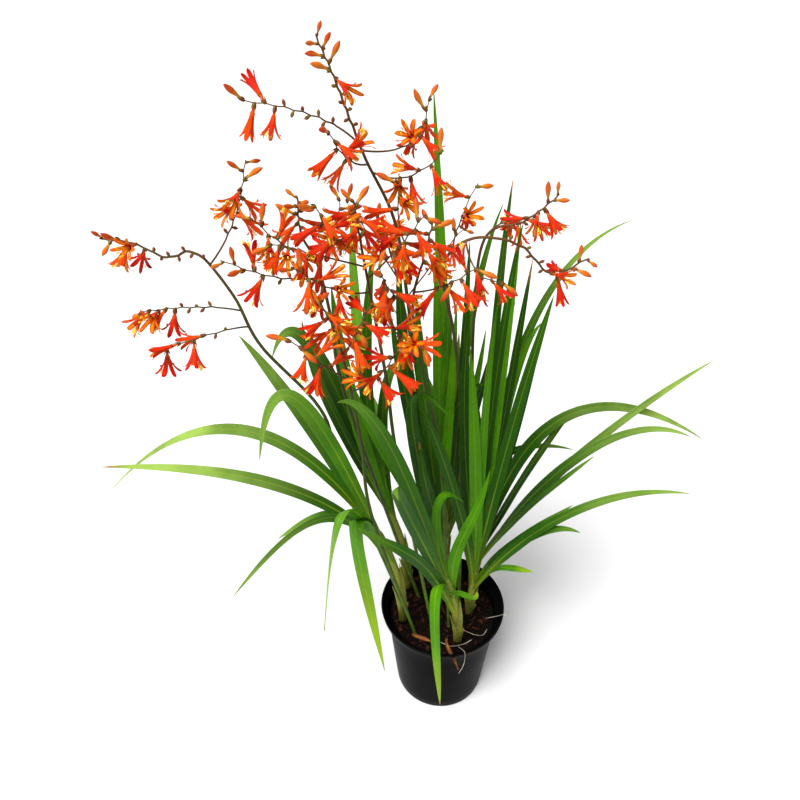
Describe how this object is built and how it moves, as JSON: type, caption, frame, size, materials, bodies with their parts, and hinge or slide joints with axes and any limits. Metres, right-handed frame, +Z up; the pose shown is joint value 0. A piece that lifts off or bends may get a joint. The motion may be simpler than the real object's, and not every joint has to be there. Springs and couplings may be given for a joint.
{
  "type": "potted crocosmia",
  "caption": "Clump of sword-leaved crocosmia with arching orange-red flower sprays, growing in a tapered black nursery pot.",
  "frame": {"origin": "centre of the pot's underside, on the surface that it stands on", "axes": "+Z up, -Y towards the viewer's side, +X to the viewer's right"},
  "size_m": [0.86, 0.465, 1.0216],
  "materials": {
    "pot_plastic": "satin black moulded plastic",
    "soil": "coarse dark bark compost, rough and dry on top",
    "leaf": "ribbed sword leaf, satin mid green with paler sheath and tip",
    "flower": "soft orange-red petals with a yellow throat, on brown-green stems"
  },
  "bodies": {
    "root": {"pot": "pot_plastic", "soil": "soil", "fan_left": "leaf", "fan_left_back": "leaf", "fan_front": "leaf", "fan_right": "leaf", "fan_right_back": "leaf", "fan_centre": "leaf", "fan_back": "leaf", "spray_left": "flower", "spray_star": "flower", "spray_top": "flower", "spray_middle": "flower", "spray_low": "flower", "spray_inner": "flower", "spray_right": "flower", "spray_far_right": "flower", "spray_back": "flower"}
  },
  "joints": []
}
